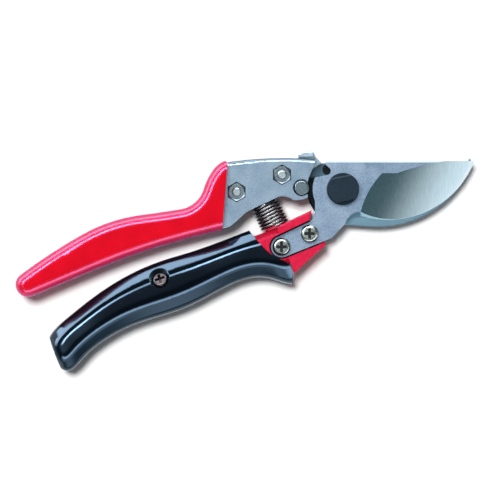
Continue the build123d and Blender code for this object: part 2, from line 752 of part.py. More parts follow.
with BuildPart() as grip_screw:
    with BuildSketch(screw_plane):
        Circle(0.4 * grip_screw_recess)
    extrude(amount=screw_head_height)
    fillet(grip_screw.edges().sort_by(Axis(screw_centre, screw_out))[-1], radius=0.5 * screw_head_height)
    with BuildSketch(screw_plane):
        Circle(grip_screw_diameter / 2)
    extrude(amount=screw_point - grip_screw_seat)
    with Locations(screw_plane.offset(screw_head_height)):
        cross_recess(grip_screw_recess / 7, grip_screw_recess / 2, 0.8 * screw_head_height)
grip_screw.part.label = "grip_screw"
export_step(grip_screw.part, "parts/grip_screw.step")

# Lock: thumb lever with a nose for the notch, its washer, and the riveted pin it turns on
tab_bottom = frame_top + 0.7
with BuildPart() as lock_lever:
    with BuildSketch(Plane.XY.offset(cutting_back)):
        with BuildLine():
            Polyline(
                lock_pin_spot + Vector(-lock_boss_radius, 0),
                (-19.3, tab_bottom),
                (-12.0, tab_bottom),
                (-9.3, 11.5),
                (-13.4, 8.6),
                (-15.6, 4.6),
                lock_pin_spot + Vector(lock_boss_radius, 0),
                close=True,
            )
        make_face()
        with Locations(lock_pin_spot):
            Circle(lock_boss_radius)
    extrude(amount=lock_plate_thickness)
    with BuildSketch(Plane.XY.offset(cutting_back)):
        with BuildLine():
            Line((-12.0, tab_bottom), (-19.3, tab_bottom))
            Line((-19.3, tab_bottom), (-19.3, frame_top + 0.7 * tab_rise))
            Spline(
                (-19.3, frame_top + 0.7 * tab_rise),
                (-16.5, frame_top + tab_rise),
                (-13.4, frame_top + 0.9 * tab_rise),
                (-12.0, tab_bottom),
            )
        make_face()
    extrude(amount=frame_front - 0.5 - cutting_back)
    fillet(lock_lever.edges().group_by(Axis.Z)[-1].sort_by(Axis.Y)[-1], radius=tab_rounding)
    with Locations(lock_pin_spot):
        Cylinder(lock_pin_diameter / 2 + fit_gap, 4 * middle, mode=Mode.SUBTRACT)
lock_lever.part.label = "lock_lever"
export_step(lock_lever.part, "parts/lock_lever.step")

with BuildPart() as lock_washer:
    with BuildSketch(Plane.XY.offset(lock_washer_back)):
        with Locations(lock_pin_spot):
            Circle(lock_boss_radius)
            Circle(lock_pin_diameter / 2 + fit_gap, mode=Mode.SUBTRACT)
    extrude(amount=lock_washer_thickness)
lock_washer.part.label = "lock_washer"
export_step(lock_washer.part, "parts/lock_washer.step")

with BuildPart() as lock_pin:
    with BuildSketch(Plane.XY.offset(counter_back)):
        with Locations(lock_pin_spot):
            Circle(lock_pin_diameter / 2)
    extrude(amount=lock_roof - counter_back)
    with BuildSketch(Plane.XY.offset(lock_roof)):
        with Locations(lock_pin_spot):
            Circle(lock_head_diameter / 2)
    extrude(amount=frame_front - 0.2 - lock_roof)
    fillet(lock_pin.edges().group_by(Axis.Z)[-1], radius=0.7)
lock_pin.part.label = "lock_pin"
export_step(lock_pin.part, "parts/lock_pin.step")

# Return spring: one wire wound between the two seats, each quarter turn drawn as two arcs
coil_radius = (spring_diameter - wire_diameter) / 2
coil_start = wire_diameter / 2 + running_gap
coil_rise = spring_length - 2 * coil_start
quarter_turns = 4 * spring_turns
coil_slope = coil_rise / (2 * math.pi * spring_turns)
spring_plane = Plane(origin=spring_seat, x_dir=(0, 0, 1), z_dir=tang_up)


def coil_point(quarters):
    """Point on the wire's centre line after that many quarter turns."""
    turn = quarters * math.pi / 2
    height = coil_start + coil_slope * turn
    return spring_plane.from_local_coords(
        Vector(coil_radius * math.cos(turn), coil_radius * math.sin(turn), height)
    )


def coil_heading(quarters):
    """Direction of the wire there."""
    turn = quarters * math.pi / 2
    around = spring_plane.y_dir * math.cos(turn) - spring_plane.x_dir * math.sin(turn)
    return (around * coil_radius + spring_plane.z_dir * coil_slope).normalized()


with BuildPart() as return_spring:
    with BuildLine() as coil_line:
        Line(coil_point(0) - coil_heading(0) * wire_diameter, coil_point(0))
        for quarter in range(quarter_turns):
            first = coil_point(quarter)
            last = coil_point(quarter + 1)
            leave = coil_heading(quarter)
            arrive = coil_heading(quarter + 1)
            span = last - first
            lean = span.dot(leave + arrive)
            bend = 2 * (1 - leave.dot(arrive))
            reach = (math.sqrt(lean**2 + bend * span.dot(span)) - lean) / bend
            corner_before = first + leave * reach
            corner_after = last - arrive * reach
            knee = (corner_before + corner_after) / 2
            TangentArc(first, knee, tangent=leave)
            TangentArc(knee, last, tangent=corner_after - corner_before)
        Line(last, last + arrive * wire_diameter)
    wire_start = Plane(origin=coil_line.line @ 0, z_dir=coil_line.line % 0)
    with BuildSketch(wire_start):
        Circle(wire_diameter / 2)
    sweep()
return_spring.part.label = "return_spring"
export_step(return_spring.part, "parts/return_spring.step")

# Least gap between the turns of the wire, on points along its centre line more than half a turn apart
points_per_turn = 60
point_count = points_per_turn * spring_turns
wire_points = [tuple(coil_line.line @ (step / point_count)) for step in range(point_count + 1)]
least_distance = min(
    math.dist(point, other)
    for place, point in enumerate(wire_points)
    for other in wire_points[place + points_per_turn // 2 :]
)
print("return_spring least gap to itself, mm:", round(least_distance - wire_diameter, 3))
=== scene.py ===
import math

import bpy
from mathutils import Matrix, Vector


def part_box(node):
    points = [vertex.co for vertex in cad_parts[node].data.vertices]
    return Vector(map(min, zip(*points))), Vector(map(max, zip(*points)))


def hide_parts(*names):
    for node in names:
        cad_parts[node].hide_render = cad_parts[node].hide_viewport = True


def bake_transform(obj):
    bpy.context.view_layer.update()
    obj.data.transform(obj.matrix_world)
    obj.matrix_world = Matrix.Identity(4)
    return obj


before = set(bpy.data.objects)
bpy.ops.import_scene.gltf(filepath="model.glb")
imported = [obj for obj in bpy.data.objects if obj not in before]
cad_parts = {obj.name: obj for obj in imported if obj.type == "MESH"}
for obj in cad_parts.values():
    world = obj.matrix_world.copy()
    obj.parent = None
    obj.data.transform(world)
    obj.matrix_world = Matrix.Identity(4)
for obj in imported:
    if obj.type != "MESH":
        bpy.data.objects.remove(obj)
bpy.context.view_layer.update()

bpy.ops.object.select_all(action="DESELECT")

# Studio: a white table under a large soft lamp on the upper left, with an even glow from above. The
# steel and the glossy grips mirror a dim bluish ceiling, one round card near overhead and four long
# level cards. The camera looks straight down on the closed shears.
scene = bpy.context.scene
scene.view_settings.view_transform = "Standard"

room = bpy.data.worlds.new("studio_room")
scene.world = room
room.use_nodes = True
room.cycles_visibility.diffuse = False
room_nodes = room.node_tree.nodes
room_links = room.node_tree.links
direction = room_nodes.new("ShaderNodeTexCoord")
height = room_nodes.new("ShaderNodeSeparateXYZ")
room_links.new(direction.outputs["Generated"], height.inputs["Vector"])
ceiling = room_nodes.new("ShaderNodeMapRange")
ceiling.interpolation_type = "SMOOTHSTEP"
ceiling.inputs["From Min"].default_value = 0.05
ceiling.inputs["From Max"].default_value = 0.45
ceiling.inputs["To Min"].default_value = 0.55
ceiling.inputs["To Max"].default_value = 0.10
room_links.new(height.outputs["Z"], ceiling.inputs["Value"])
ceiling_light = room_nodes.new("ShaderNodeBackground")
ceiling_light.inputs["Color"].default_value = (0.45, 0.85, 1.0, 1)
room_links.new(ceiling.outputs["Result"], ceiling_light.inputs["Strength"])
bearing = room_nodes.new("ShaderNodeVectorMath")
bearing.operation = "MULTIPLY"
bearing.inputs[1].default_value = (1, 1, 0)
room_links.new(direction.outputs["Generated"], bearing.inputs[0])
level_bearing = room_nodes.new("ShaderNodeVectorMath")
level_bearing.operation = "NORMALIZE"
room_links.new(bearing.outputs["Vector"], level_bearing.inputs[0])


def round_card(azimuth, lean, inner, outer, strength):
    """Hang a round card for the steel to mirror: its bearing, its lean from overhead and the angles
    from its middle between which it fades, all in degrees, and how bright it is."""
    aside = math.sin(math.radians(lean))
    middle = (
        aside * math.cos(math.radians(azimuth)),
        aside * math.sin(math.radians(azimuth)),
        math.cos(math.radians(lean)),
    )
    facing = room_nodes.new("ShaderNodeVectorMath")
    facing.operation = "DOT_PRODUCT"
    facing.inputs[1].default_value = middle
    room_links.new(direction.outputs["Generated"], facing.inputs[0])
    edge = room_nodes.new("ShaderNodeMapRange")
    edge.interpolation_type = "SMOOTHSTEP"
    edge.inputs["From Min"].default_value = math.cos(math.radians(outer))
    edge.inputs["From Max"].default_value = math.cos(math.radians(inner))
    edge.inputs["To Min"].default_value = 0.0
    edge.inputs["To Max"].default_value = strength
    room_links.new(facing.outputs["Value"], edge.inputs["Value"])
    return edge.outputs["Result"]


def heading(degrees):
    """Give the level direction that lies at an angle from +X."""
    return Vector((math.cos(math.radians(degrees)), math.sin(math.radians(degrees)), 0))


def long_card(hung, azimuth, rise, inner, outer, strength):
    """Add a long level card to those hung before: its bearing in degrees, how high its middle is,
    how far above and below that it fades, and how bright it is."""
    end_fade_start, end_fade_stop = 40, 70
    facing = room_nodes.new("ShaderNodeVectorMath")
    facing.operation = "DOT_PRODUCT"
    facing.inputs[1].default_value = heading(azimuth)
    room_links.new(level_bearing.outputs["Vector"], facing.inputs[0])
    width = room_nodes.new("ShaderNodeMapRange")
    width.interpolation_type = "SMOOTHSTEP"
    width.inputs["From Min"].default_value = math.cos(math.radians(end_fade_stop))
    width.inputs["From Max"].default_value = math.cos(math.radians(end_fade_start))
    room_links.new(facing.outputs["Value"], width.inputs["Value"])
    above = room_nodes.new("ShaderNodeMath")
    above.operation = "SUBTRACT"
    above.inputs[1].default_value = rise
    room_links.new(height.outputs["Z"], above.inputs[0])
    off_middle = room_nodes.new("ShaderNodeMath")
    off_middle.operation = "ABSOLUTE"
    room_links.new(above.outputs["Value"], off_middle.inputs[0])
    strip = room_nodes.new("ShaderNodeMapRange")
    strip.interpolation_type = "SMOOTHSTEP"
    strip.inputs["From Min"].default_value = outer
    strip.inputs["From Max"].default_value = inner
    strip.inputs["To Min"].default_value = 0.0
    strip.inputs["To Max"].default_value = strength
    room_links.new(off_middle.outputs["Value"], strip.inputs["Value"])
    total = room_nodes.new("ShaderNodeMath")
    total.operation = "MULTIPLY_ADD"
    room_links.new(width.outputs["Result"], total.inputs[0])
    room_links.new(strip.outputs["Result"], total.inputs[1])
    room_links.new(hung, total.inputs[2])
    return total.outputs["Value"]


cards = round_card(azimuth=165, lean=20, inner=12, outer=35, strength=0.95)
cards = long_card(cards, azimuth=115, rise=0.82, inner=0.035, outer=0.065, strength=30.0)
cards = long_card(cards, azimuth=115, rise=0.18, inner=0.14, outer=0.22, strength=9.5)
cards = long_card(cards, azimuth=-65, rise=0.60, inner=0.04, outer=0.14, strength=7.0)
cards = long_card(cards, azimuth=-65, rise=0.45, inner=0.10, outer=0.28, strength=2.0)
card_light = room_nodes["Background"]
card_light.inputs["Color"].default_value = (0.92, 0.97, 1.0, 1)
room_links.new(cards, card_light.inputs["Strength"])
room_light = room_nodes.new("ShaderNodeAddShader")
room_links.new(ceiling_light.outputs["Background"], room_light.inputs[0])
room_links.new(card_light.outputs["Background"], room_light.inputs[1])
backdrop = room_nodes.new("ShaderNodeBackground")
backdrop.inputs["Color"].default_value = (1, 1, 1, 1)
room_seen = room_nodes.new("ShaderNodeLightPath")
room_view = room_nodes.new("ShaderNodeMixShader")
room_links.new(room_seen.outputs["Is Camera Ray"], room_view.inputs["Fac"])
room_links.new(room_light.outputs["Shader"], room_view.inputs[1])
room_links.new(backdrop.outputs["Background"], room_view.inputs[2])
room_links.new(room_view.outputs["Shader"], room_nodes["World Output"].inputs["Surface"])


def soft_lamp(name, azimuth, lean, width, strength):
    """Hang a far round lamp: its bearing, its lean from overhead and how wide it looks, all in
    degrees, and how strong it is."""
    turn = (math.radians(lean), 0, math.radians(azimuth + 90))
    bpy.ops.object.light_add(type="SUN", location=(0, 0, 1), rotation=turn)
    lamp = bpy.context.object
    lamp.name = name
    lamp.visible_glossy = False
    lamp.data.angle = math.radians(width)
    lamp.data.energy = strength


soft_lamp("large_lamp", azimuth=125, lean=14, width=14, strength=3.1)
soft_lamp("even_glow", azimuth=0, lean=0, width=178, strength=0.35)

table_size = 40
table_drop = 0.0003
bpy.ops.mesh.primitive_plane_add(size=table_size, location=(0, 0, -table_drop))
table_top = bpy.context.object
table_top.name = "table_top"
table_paint = bpy.data.materials.new("white_table")
table_paint.use_nodes = True
table_nodes = table_paint.node_tree.nodes
table_links = table_paint.node_tree.links
table_surface = table_nodes["Principled BSDF"]
table_surface.inputs["Base Color"].default_value = (0.95, 0.95, 0.95, 1)
table_surface.inputs["Roughness"].default_value = 0.9
table_surface.inputs["Specular IOR Level"].default_value = 0.0
table_surface.inputs["Emission Color"].default_value = (1, 1, 1, 1)
table_seen = table_nodes.new("ShaderNodeLightPath")
table_mirrored = table_nodes.new("ShaderNodeMath")
table_mirrored.operation = "ADD"
table_links.new(table_seen.outputs["Is Glossy Ray"], table_mirrored.inputs[0])
table_links.new(table_seen.outputs["Is Transmission Ray"], table_mirrored.inputs[1])
table_shown = table_nodes.new("ShaderNodeMath")
table_shown.operation = "ADD"
table_links.new(table_seen.outputs["Is Camera Ray"], table_shown.inputs[0])
table_links.new(table_mirrored.outputs["Value"], table_shown.inputs[1])
table_glow = table_nodes.new("ShaderNodeMapRange")
table_glow.inputs["To Min"].default_value = 0.0
table_glow.inputs["To Max"].default_value = 0.03
table_links.new(table_shown.outputs["Value"], table_glow.inputs["Value"])
table_links.new(table_glow.outputs["Result"], table_surface.inputs["Emission Strength"])
table_top.data.materials.append(table_paint)

camera_place = (-0.0404, -0.0265, 1.2)
camera_to_blade = 1.188
half_view = 0.109
sensor_width = 36
bpy.ops.object.camera_add(location=camera_place, rotation=(0, 0, 0))
camera = bpy.context.object
camera.data.lens = sensor_width / 2 / (half_view / camera_to_blade)
camera.data.sensor_width = sensor_width
scene.camera = camera


# Upper frame: a forged aluminium handle head, its front blasted to an even sparkle, with painted
# shade, a dark tint, on its rounded edges and sides that tones down their highlight. The counter
# blade lies in a recess behind it, two nuts are let into its front, and its tail runs into the red
# cover.
def blasted_metal(name, dark, pale, rough, grain=1400):
    """Blasted metal: fine speckle in tone, gloss and relief, under broad faint clouds."""
    cloud_share = 0.45
    gloss_spread = 0.08
    finish = bpy.data.materials.new(name)
    finish.use_nodes = True
    nodes = finish.node_tree.nodes
    links = finish.node_tree.links
    surface = nodes["Principled BSDF"]
    surface.inputs["Metallic"].default_value = 1.0
    place = nodes.new("ShaderNodeTexCoord")
    speckle = nodes.new("ShaderNodeTexNoise")
    speckle.inputs["Scale"].default_value = grain
    speckle.inputs["Detail"].default_value = 5.0
    speckle.inputs["Roughness"].default_value = 0.7
    links.new(place.outputs["Object"], speckle.inputs["Vector"])
    cloud = nodes.new("ShaderNodeTexNoise")
    cloud.inputs["Scale"].default_value = 130
    cloud.inputs["Detail"].default_value = 3.0
    links.new(place.outputs["Object"], cloud.inputs["Vector"])
    both = nodes.new("ShaderNodeMath")
    both.operation = "MULTIPLY_ADD"
    both.inputs[1].default_value = cloud_share
    links.new(cloud.outputs["Fac"], both.inputs[0])
    links.new(speckle.outputs["Fac"], both.inputs[2])
    tone = nodes.new("ShaderNodeValToRGB")
    tone.color_ramp.elements[0].position = 0.50
    tone.color_ramp.elements[0].color = (*dark, 1)
    tone.color_ramp.elements[1].position = 0.95
    tone.color_ramp.elements[1].color = (*pale, 1)
    links.new(both.outputs["Value"], tone.inputs["Fac"])
    links.new(tone.outputs["Color"], surface.inputs["Base Color"])
    gloss = nodes.new("ShaderNodeMapRange")
    gloss.inputs["From Min"].default_value = 0.3
    gloss.inputs["From Max"].default_value = 0.7
    gloss.inputs["To Min"].default_value = rough + gloss_spread
    gloss.inputs["To Max"].default_value = rough - gloss_spread
    links.new(speckle.outputs["Fac"], gloss.inputs["Value"])
    links.new(gloss.outputs["Result"], surface.inputs["Roughness"])
    relief = nodes.new("ShaderNodeBump")
    relief.inputs["Strength"].default_value = 0.35
    relief.inputs["Distance"].default_value = 0.00008
    links.new(speckle.outputs["Fac"], relief.inputs["Height"])
    links.new(relief.outputs["Normal"], surface.inputs["Normal"])
    return finish


def tint_over(finish, where, tint):
    """Lay a tint, one colour or a pattern of colours, over part of a finish."""
    nodes = finish.node_tree.nodes
    links = finish.node_tree.links
    base_colour = nodes["Principled BSDF"].inputs["Base Color"]
    layer = nodes.new("ShaderNodeMix")
    layer.data_type = "RGBA"
    under, over, mixed = layer.inputs[6], layer.inputs[7], layer.outputs[2]
    links.new(where, layer.inputs["Factor"])
    links.new(base_colour.links[0].from_socket, under)
    if isinstance(tint, tuple):
        over.default_value = (*tint, 1)
    else:
        links.new(tint, over)
    links.new(mixed, base_colour)


def paint_recess_shade(finish, face_spot, outward, radius, depth, shade_tone=0.03):
    """Paint shade into a round recess of a finish, a dark tint where shade falls: the spot on its
    face, the way out, its size and the tone of the painted shade.
    """
    dark_from, dark_at = 0.3 * depth, 0.7 * depth
    nodes = finish.node_tree.nodes
    links = finish.node_tree.links
    place = nodes.new("ShaderNodeTexCoord")
    from_spot = nodes.new("ShaderNodeVectorMath")
    from_spot.operation = "SUBTRACT"
    from_spot.inputs[1].default_value = face_spot
    links.new(place.outputs["Object"], from_spot.inputs[0])
    rise = nodes.new("ShaderNodeVectorMath")
    rise.operation = "DOT_PRODUCT"
    rise.inputs[1].default_value = outward
    links.new(from_spot.outputs["Vector"], rise.inputs[0])
    below = nodes.new("ShaderNodeMapRange")
    below.inputs["From Min"].default_value = -dark_from
    below.inputs["From Max"].default_value = -dark_at
    links.new(rise.outputs["Value"], below.inputs["Value"])
    sideways = nodes.new("ShaderNodeVectorMath")
    sideways.operation = "CROSS_PRODUCT"
    sideways.inputs[1].default_value = outward
    links.new(from_spot.outputs["Vector"], sideways.inputs[0])
    spread = nodes.new("ShaderNodeVectorMath")
    spread.operation = "LENGTH"
    links.new(sideways.outputs["Vector"], spread.inputs[0])
    inside = nodes.new("ShaderNodeMath")
    inside.operation = "LESS_THAN"
    inside.inputs[1].default_value = radius
    links.new(spread.outputs["Value"], inside.inputs[0])
    recess_shade = nodes.new("ShaderNodeMath")
    recess_shade.operation = "MULTIPLY"
    links.new(below.outputs["Result"], recess_shade.inputs[0])
    links.new(inside.outputs["Value"], recess_shade.inputs[1])
    tint_over(finish, recess_shade.outputs["Value"], (shade_tone, shade_tone, shade_tone))


def by_depth(finish, half_depth, start, end, on_face, on_side):
    """Give one value on a piece's two flat faces and another on its sides, with a soft change
    between two depths below the faces."""
    nodes = finish.node_tree.nodes
    links = finish.node_tree.links
    place = nodes.new("ShaderNodeTexCoord")
    place_parts = nodes.new("ShaderNodeSeparateXYZ")
    links.new(place.outputs["Object"], place_parts.inputs["Vector"])
    level = nodes.new("ShaderNodeMath")
    level.operation = "SUBTRACT"
    level.inputs[1].default_value = middle_plane
    links.new(place_parts.outputs["Z"], level.inputs[0])
    off_middle = nodes.new("ShaderNodeMath")
    off_middle.operation = "ABSOLUTE"
    links.new(level.outputs["Value"], off_middle.inputs[0])
    value = nodes.new("ShaderNodeMapRange")
    value.interpolation_type = "SMOOTHSTEP"
    value.inputs["From Min"].default_value = half_depth - start
    value.inputs["From Max"].default_value = half_depth - end
    value.inputs["To Min"].default_value = on_face
    value.inputs["To Max"].default_value = on_side
    links.new(off_middle.outputs["Value"], value.inputs["Value"])
    return value.outputs["Result"]


def dress(piece, finish):
    """Put a finish on one of the drawn pieces."""
    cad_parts[piece].material_slots[0].material = finish


middle_plane = 0.010
frame_front = 0.0165
straight_up = (0, 0, 1)
front_bolt = Vector((-0.0265, 0.0062, frame_front))
bolt_spacing = 0.0211
towards_front_bolt = heading(20.8)
rear_bolt = front_bolt - towards_front_bolt * bolt_spacing
lock_pin_spot = Vector((-0.018, 0.0006, frame_front))
nut_pocket_radius = 0.0047
pin_pocket_radius = 0.0038
pocket_depth = 0.0010
edge_shade_tint = (0.08, 0.11, 0.14)
frame_finish = blasted_metal(
    "blasted_frame_metal", dark=(0.14, 0.20, 0.27), pale=(0.33, 0.40, 0.47), rough=0.33
)
# Painted shade: the rounded edges and sides of the frame are tinted dark, which tones down their
# highlight.
edge_shade_mask = by_depth(
    frame_finish, frame_front - middle_plane, start=0.00002, end=0.00015, on_face=0.0, on_side=1.0
)
tint_over(frame_finish, edge_shade_mask, edge_shade_tint)
# Painted shade: the nut pockets and the lock pin's pocket are tinted dark below the front, where
# shade falls in them.
for bolt_spot in (front_bolt, rear_bolt):
    paint_recess_shade(frame_finish, bolt_spot, straight_up, nut_pocket_radius, pocket_depth)
paint_recess_shade(frame_finish, lock_pin_spot, straight_up, pin_pocket_radius, pocket_depth)
dress("upper_frame", frame_finish)

# Red cover of the upper handle: soft vinyl, moulded over the frame's tail. It shines over its
# rounded edges and is duller on its faces and walls, with the slight waviness of such a cover.
cover_vinyl = bpy.data.materials.new("red_vinyl")
cover_vinyl.use_nodes = True
cover_nodes = cover_vinyl.node_tree.nodes
cover_links = cover_vinyl.node_tree.links
cover_surface = cover_nodes["Principled BSDF"]
cover_surface.inputs["Specular Tint"].default_value = (1.0, 0.45, 1.0, 1)
cover_surface.inputs["Sheen Weight"].default_value = 0.8
cover_surface.inputs["Sheen Roughness"].default_value = 0.45
cover_surface.inputs["Sheen Tint"].default_value = (1.0, 0.25, 0.90, 1)
cover_place = cover_nodes.new("ShaderNodeTexCoord")
cover_waves = cover_nodes.new("ShaderNodeTexNoise")
cover_waves.inputs["Scale"].default_value = 90
cover_waves.inputs["Detail"].default_value = 3.0
cover_links.new(cover_place.outputs["Object"], cover_waves.inputs["Vector"])
cover_tone = cover_nodes.new("ShaderNodeValToRGB")
cover_tone.color_ramp.elements[0].position = 0.3
cover_tone.color_ramp.elements[0].color = (0.66, 0.002, 0.009, 1)
cover_tone.color_ramp.elements[1].position = 0.7
cover_tone.color_ramp.elements[1].color = (0.80, 0.003, 0.014, 1)
cover_links.new(cover_waves.outputs["Fac"], cover_tone.inputs["Fac"])
cover_links.new(cover_tone.outputs["Color"], cover_surface.inputs["Base Color"])
cover_grain = cover_nodes.new("ShaderNodeTexNoise")
cover_grain.inputs["Scale"].default_value = 900
cover_grain.inputs["Detail"].default_value = 2.0
cover_links.new(cover_place.outputs["Object"], cover_grain.inputs["Vector"])
cover_gloss = cover_nodes.new("ShaderNodeMapRange")
cover_gloss.inputs["To Min"].default_value = 0.22
cover_gloss.inputs["To Max"].default_value = 0.30
cover_links.new(cover_grain.outputs["Fac"], cover_gloss.inputs["Value"])
cover_links.new(cover_gloss.outputs["Result"], cover_surface.inputs["Roughness"])
cover_relief = cover_nodes.new("ShaderNodeBump")
cover_relief.inputs["Strength"].default_value = 0.12
cover_relief.inputs["Distance"].default_value = 0.0003
cover_links.new(cover_waves.outputs["Fac"], cover_relief.inputs["Height"])
cover_links.new(cover_relief.outputs["Normal"], cover_surface.inputs["Normal"])
cover_half_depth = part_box("upper_grip")[1][2] - middle_plane
cover_rounding = by_depth(
    cover_vinyl, cover_half_depth, start=0.00001, end=0.00020, on_face=0.10, on_side=1.0
)
cover_wall = by_depth(
    cover_vinyl, cover_half_depth, start=0.0018, end=0.0034, on_face=1.0, on_side=0.20
)
cover_shine = cover_nodes.new("ShaderNodeMath")
cover_shine.operation = "MULTIPLY"
cover_links.new(cover_rounding, cover_shine.inputs[0])
cover_links.new(cover_wall, cover_shine.inputs[1])
cover_links.new(cover_shine.outputs["Value"], cover_surface.inputs["Specular IOR Level"])
dress("upper_grip", cover_vinyl)


# Counter blade: a hooked plate of hardened steel behind the cutting blade, with its tang bolted
# into the back of the upper frame. Its faces are ground along the hook, and painted shade, a
# near-black tint, darkens it in the gap beside the hub and at the bottom of the lock notch.
def ground_metal(name, dark, pale, rough, turn, stretch=0.03):
    """Ground metal: long fine scratches across the wheel's axis, turned by an angle in degrees."""
    gloss_spread = 0.06
    finish = bpy.data.materials.new(name)
    finish.use_nodes = True
    nodes = finish.node_tree.nodes
    links = finish.node_tree.links
    surface = nodes["Principled BSDF"]
    surface.inputs["Metallic"].default_value = 1.0
    place = nodes.new("ShaderNodeTexCoord")
    lay = nodes.new("ShaderNodeMapping")
    lay.inputs["Rotation"].default_value = (0, 0, math.radians(turn))
    lay.inputs["Scale"].default_value = (stretch, 1.0, 1.0)
    links.new(place.outputs["Object"], lay.inputs["Vector"])
    scratches = nodes.new("ShaderNodeTexNoise")
    scratches.inputs["Scale"].default_value = 3500
    scratches.inputs["Detail"].default_value = 4.0
    links.new(lay.outputs["Vector"], scratches.inputs["Vector"])
    tone = nodes.new("ShaderNodeValToRGB")
    tone.color_ramp.elements[0].position = 0.3
    tone.color_ramp.elements[0].color = (*dark, 1)
    tone.color_ramp.elements[1].position = 0.7
    tone.color_ramp.elements[1].color = (*pale, 1)
    links.new(scratches.outputs["Fac"], tone.inputs["Fac"])
    links.new(tone.outputs["Color"], surface.inputs["Base Color"])
    gloss = nodes.new("ShaderNodeMapRange")
    gloss.inputs["To Min"].default_value = rough - gloss_spread
    gloss.inputs["To Max"].default_value = rough + gloss_spread
    links.new(scratches.outputs["Fac"], gloss.inputs["Value"])
    links.new(gloss.outputs["Result"], surface.inputs["Roughness"])
    relief = nodes.new("ShaderNodeBump")
    relief.inputs["Strength"].default_value = 0.15
    relief.inputs["Distance"].default_value = 0.00002
    links.new(scratches.outputs["Fac"], relief.inputs["Height"])
    links.new(relief.outputs["Normal"], surface.inputs["Normal"])
    return finish


hook_finish = ground_metal(
    "ground_hook_steel", dark=(0.115, 0.200, 0.255), pale=(0.175, 0.275, 0.335), rough=0.36, turn=20
)
hook_nodes = hook_finish.node_tree.nodes
hook_links = hook_finish.node_tree.links
hook_place = hook_nodes.new("ShaderNodeTexCoord")
hook_reach = hook_nodes.new("ShaderNodeSeparateXYZ")
hook_links.new(hook_place.outputs["Object"], hook_reach.inputs["Vector"])
# Painted shade: the deep gap beside the hub and the bottom of the lock notch are tinted near black.
left_of_hub = hook_nodes.new("ShaderNodeMapRange")
left_of_hub.inputs["From Min"].default_value = -0.0070
left_of_hub.inputs["From Max"].default_value = -0.0085
hook_links.new(hook_reach.outputs["X"], left_of_hub.inputs["Value"])
below_notch = hook_nodes.new("ShaderNodeMapRange")
below_notch.inputs["From Min"].default_value = 0.0060
below_notch.inputs["From Max"].default_value = 0.0048
below_notch.inputs["To Min"].default_value = 0.6
hook_links.new(hook_reach.outputs["Y"], below_notch.inputs["Value"])
painted_gap_shade = hook_nodes.new("ShaderNodeMath")
painted_gap_shade.operation = "MULTIPLY"
hook_links.new(left_of_hub.outputs["Result"], painted_gap_shade.inputs[0])
hook_links.new(below_notch.outputs["Result"], painted_gap_shade.inputs[1])
notch_bottom = (-0.0062, 0.0086, middle_plane)
from_notch = hook_nodes.new("ShaderNodeVectorMath")
from_notch.operation = "DISTANCE"
from_notch.inputs[1].default_value = notch_bottom
hook_links.new(hook_place.outputs["Object"], from_notch.inputs[0])
painted_notch_shade = hook_nodes.new("ShaderNodeMapRange")
painted_notch_shade.inputs["From Min"].default_value = 0.0034
painted_notch_shade.inputs["From Max"].default_value = 0.0024
hook_links.new(from_notch.outputs["Value"], painted_notch_shade.inputs["Value"])
painted_hook_shade = hook_nodes.new("ShaderNodeMath")
painted_hook_shade.operation = "MAXIMUM"
hook_links.new(painted_gap_shade.outputs["Value"], painted_hook_shade.inputs[0])
hook_links.new(painted_notch_shade.outputs["Result"], painted_hook_shade.inputs[1])
hook_shade_tint = (0.010, 0.013, 0.016)
tint_over(hook_finish, painted_hook_shade.outputs["Value"], hook_shade_tint)
dress("counter_blade", hook_finish)

# Bolts and nuts of the counter blade: bright plated M4 fasteners of steel. The nuts are let into
# hexagonal pockets of the frame, and the bolt ends stand a little proud of its front.
nut_finish = ground_metal(
    "plated_nut_steel",
    dark=(0.12, 0.15, 0.17), pale=(0.26, 0.30, 0.32), rough=0.26, turn=75, stretch=0.2,
)
dress("counter_blade_nuts", nut_finish)
bolt_finish = ground_metal(
    "plated_bolt_steel",
    dark=(0.28, 0.32, 0.34), pale=(0.50, 0.54, 0.55), rough=0.30, turn=30, stretch=0.2,
)
dress("counter_blade_bolts", bolt_finish)

# Cutting blade: hardened steel plate, blasted on its flat faces and hollow ground from the hub to
# the edge, with wheel marks across the edge. It turns on a bronze bush, and its tang lies in the
# lower frame's fork.
plate_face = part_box("cutting_blade")[1][2]
grind_margin = 0.00002
wheel_turn = math.radians(-61.5)
blade_finish = blasted_metal(
    "blade_steel", dark=(0.11, 0.18, 0.27), pale=(0.41, 0.48, 0.58), rough=0.32
)
blade_nodes = blade_finish.node_tree.nodes
blade_links = blade_finish.node_tree.links
blade_surface = blade_nodes["Principled BSDF"]
blade_place = blade_nodes.new("ShaderNodeTexCoord")
blade_height = blade_nodes.new("ShaderNodeSeparateXYZ")
blade_links.new(blade_place.outputs["Object"], blade_height.inputs["Vector"])
ground_here = blade_nodes.new("ShaderNodeMath")
ground_here.operation = "LESS_THAN"
ground_here.inputs[1].default_value = plate_face - grind_margin
blade_links.new(blade_height.outputs["Z"], ground_here.inputs[0])
wheel_lay = blade_nodes.new("ShaderNodeMapping")
wheel_lay.inputs["Rotation"].default_value = (0, 0, wheel_turn)
wheel_lay.inputs["Scale"].default_value = (1.0, 0.02, 1.0)
blade_links.new(blade_place.outputs["Object"], wheel_lay.inputs["Vector"])
wheel_marks = blade_nodes.new("ShaderNodeTexNoise")
wheel_marks.inputs["Scale"].default_value = 4000
wheel_marks.inputs["Detail"].default_value = 3.0
blade_links.new(wheel_lay.outputs["Vector"], wheel_marks.inputs["Vector"])
ground_tone = blade_nodes.new("ShaderNodeValToRGB")
ground_tone.color_ramp.elements[0].position = 0.3
ground_tone.color_ramp.elements[0].color = (0.68, 0.81, 0.88, 1)
ground_tone.color_ramp.elements[1].position = 0.7
ground_tone.color_ramp.elements[1].color = (0.80, 0.93, 0.98, 1)
